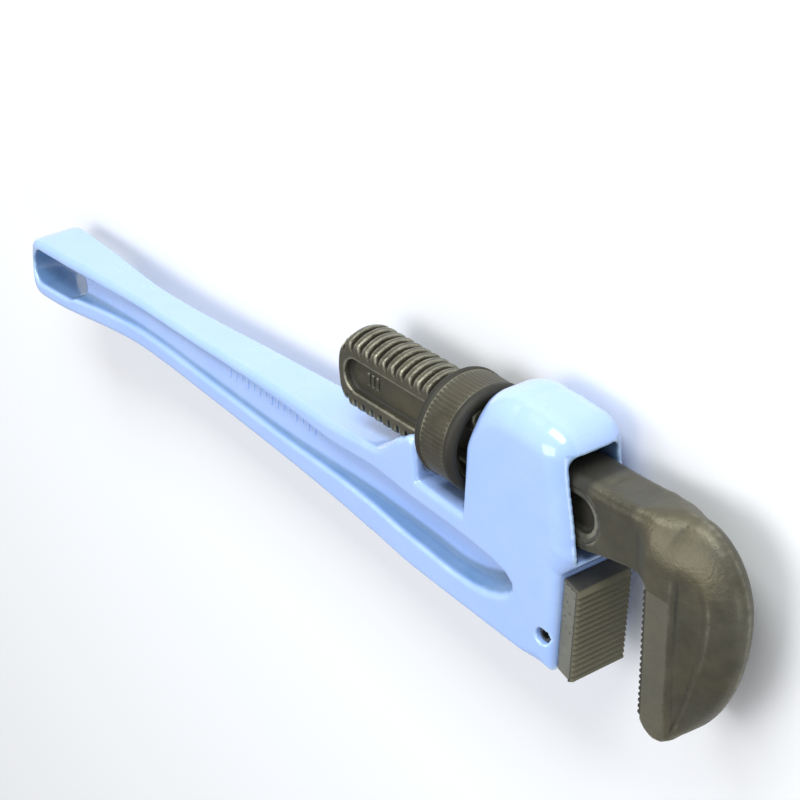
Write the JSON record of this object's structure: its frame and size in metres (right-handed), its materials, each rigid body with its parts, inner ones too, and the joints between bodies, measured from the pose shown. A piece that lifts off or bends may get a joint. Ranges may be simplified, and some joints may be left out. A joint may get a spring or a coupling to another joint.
{
  "type": "pipe wrench",
  "caption": "Straight pipe wrench: cast aluminium handle with housing and lug, sliding threaded hook jaw, ring nut, pinned heel jaw and sprung, rocking jaw.",
  "frame": {"origin": "middle of the lower end of the heel jaw's tooth face, on the wrench's plane of symmetry", "axes": "+X from the handle's tail towards the jaws, +Y from the open jaw tips towards the housing's crown, +Z out of the side face, up as the wrench lies on its side"},
  "size_m": [0.4563, 0.112, 0.044],
  "materials": {
    "blue_enamel": "glossy sky-blue enamel over cast aluminium",
    "forged_steel": "dark oiled drop forging with bright worn edges",
    "nut_steel": "dark oiled steel, bright on the rims",
    "tooth_steel": "yellowish hardened steel with soot in the teeth",
    "spring_steel": "dark tempered spring steel"
  },
  "bodies": {
    "handle": {"handle": "blue_enamel", "heel_jaw": "tooth_steel", "heel_jaw_pin": "spring_steel", "coil_spring": "spring_steel"},
    "spring_leaf": {"flat_spring": "spring_steel", "spring_rivet": "spring_steel"},
    "hook_jaw": {"hook_jaw": "forged_steel"},
    "nut": {"adjusting_nut": "nut_steel"}
  },
  "joints": [
    {"name": "jaw_rock", "type": "hinge", "parent": "handle", "child": "spring_leaf", "pos_m": [-0.038, 0.066, 0], "axis": [0, 0, 1], "range_deg": [-3, 1], "stiffness_Nm_per_rad": 6},
    {"name": "nut_spin", "type": "hinge", "parent": "spring_leaf", "child": "nut", "pos_m": [-0.038, 0.066, 0], "axis": [0.998, 0.0628, 0], "range_deg": [-2910, 1965]},
    {"name": "jaw_slide", "type": "slide", "parent": "spring_leaf", "child": "hook_jaw", "axis": [0.998, 0.0628, 0], "range_m": [-0.029, 0.043]}
  ],
  "couplings": [
    {"joint": "nut_spin", "follows": "jaw_slide", "rad_per_m": -1178.8}
  ]
}
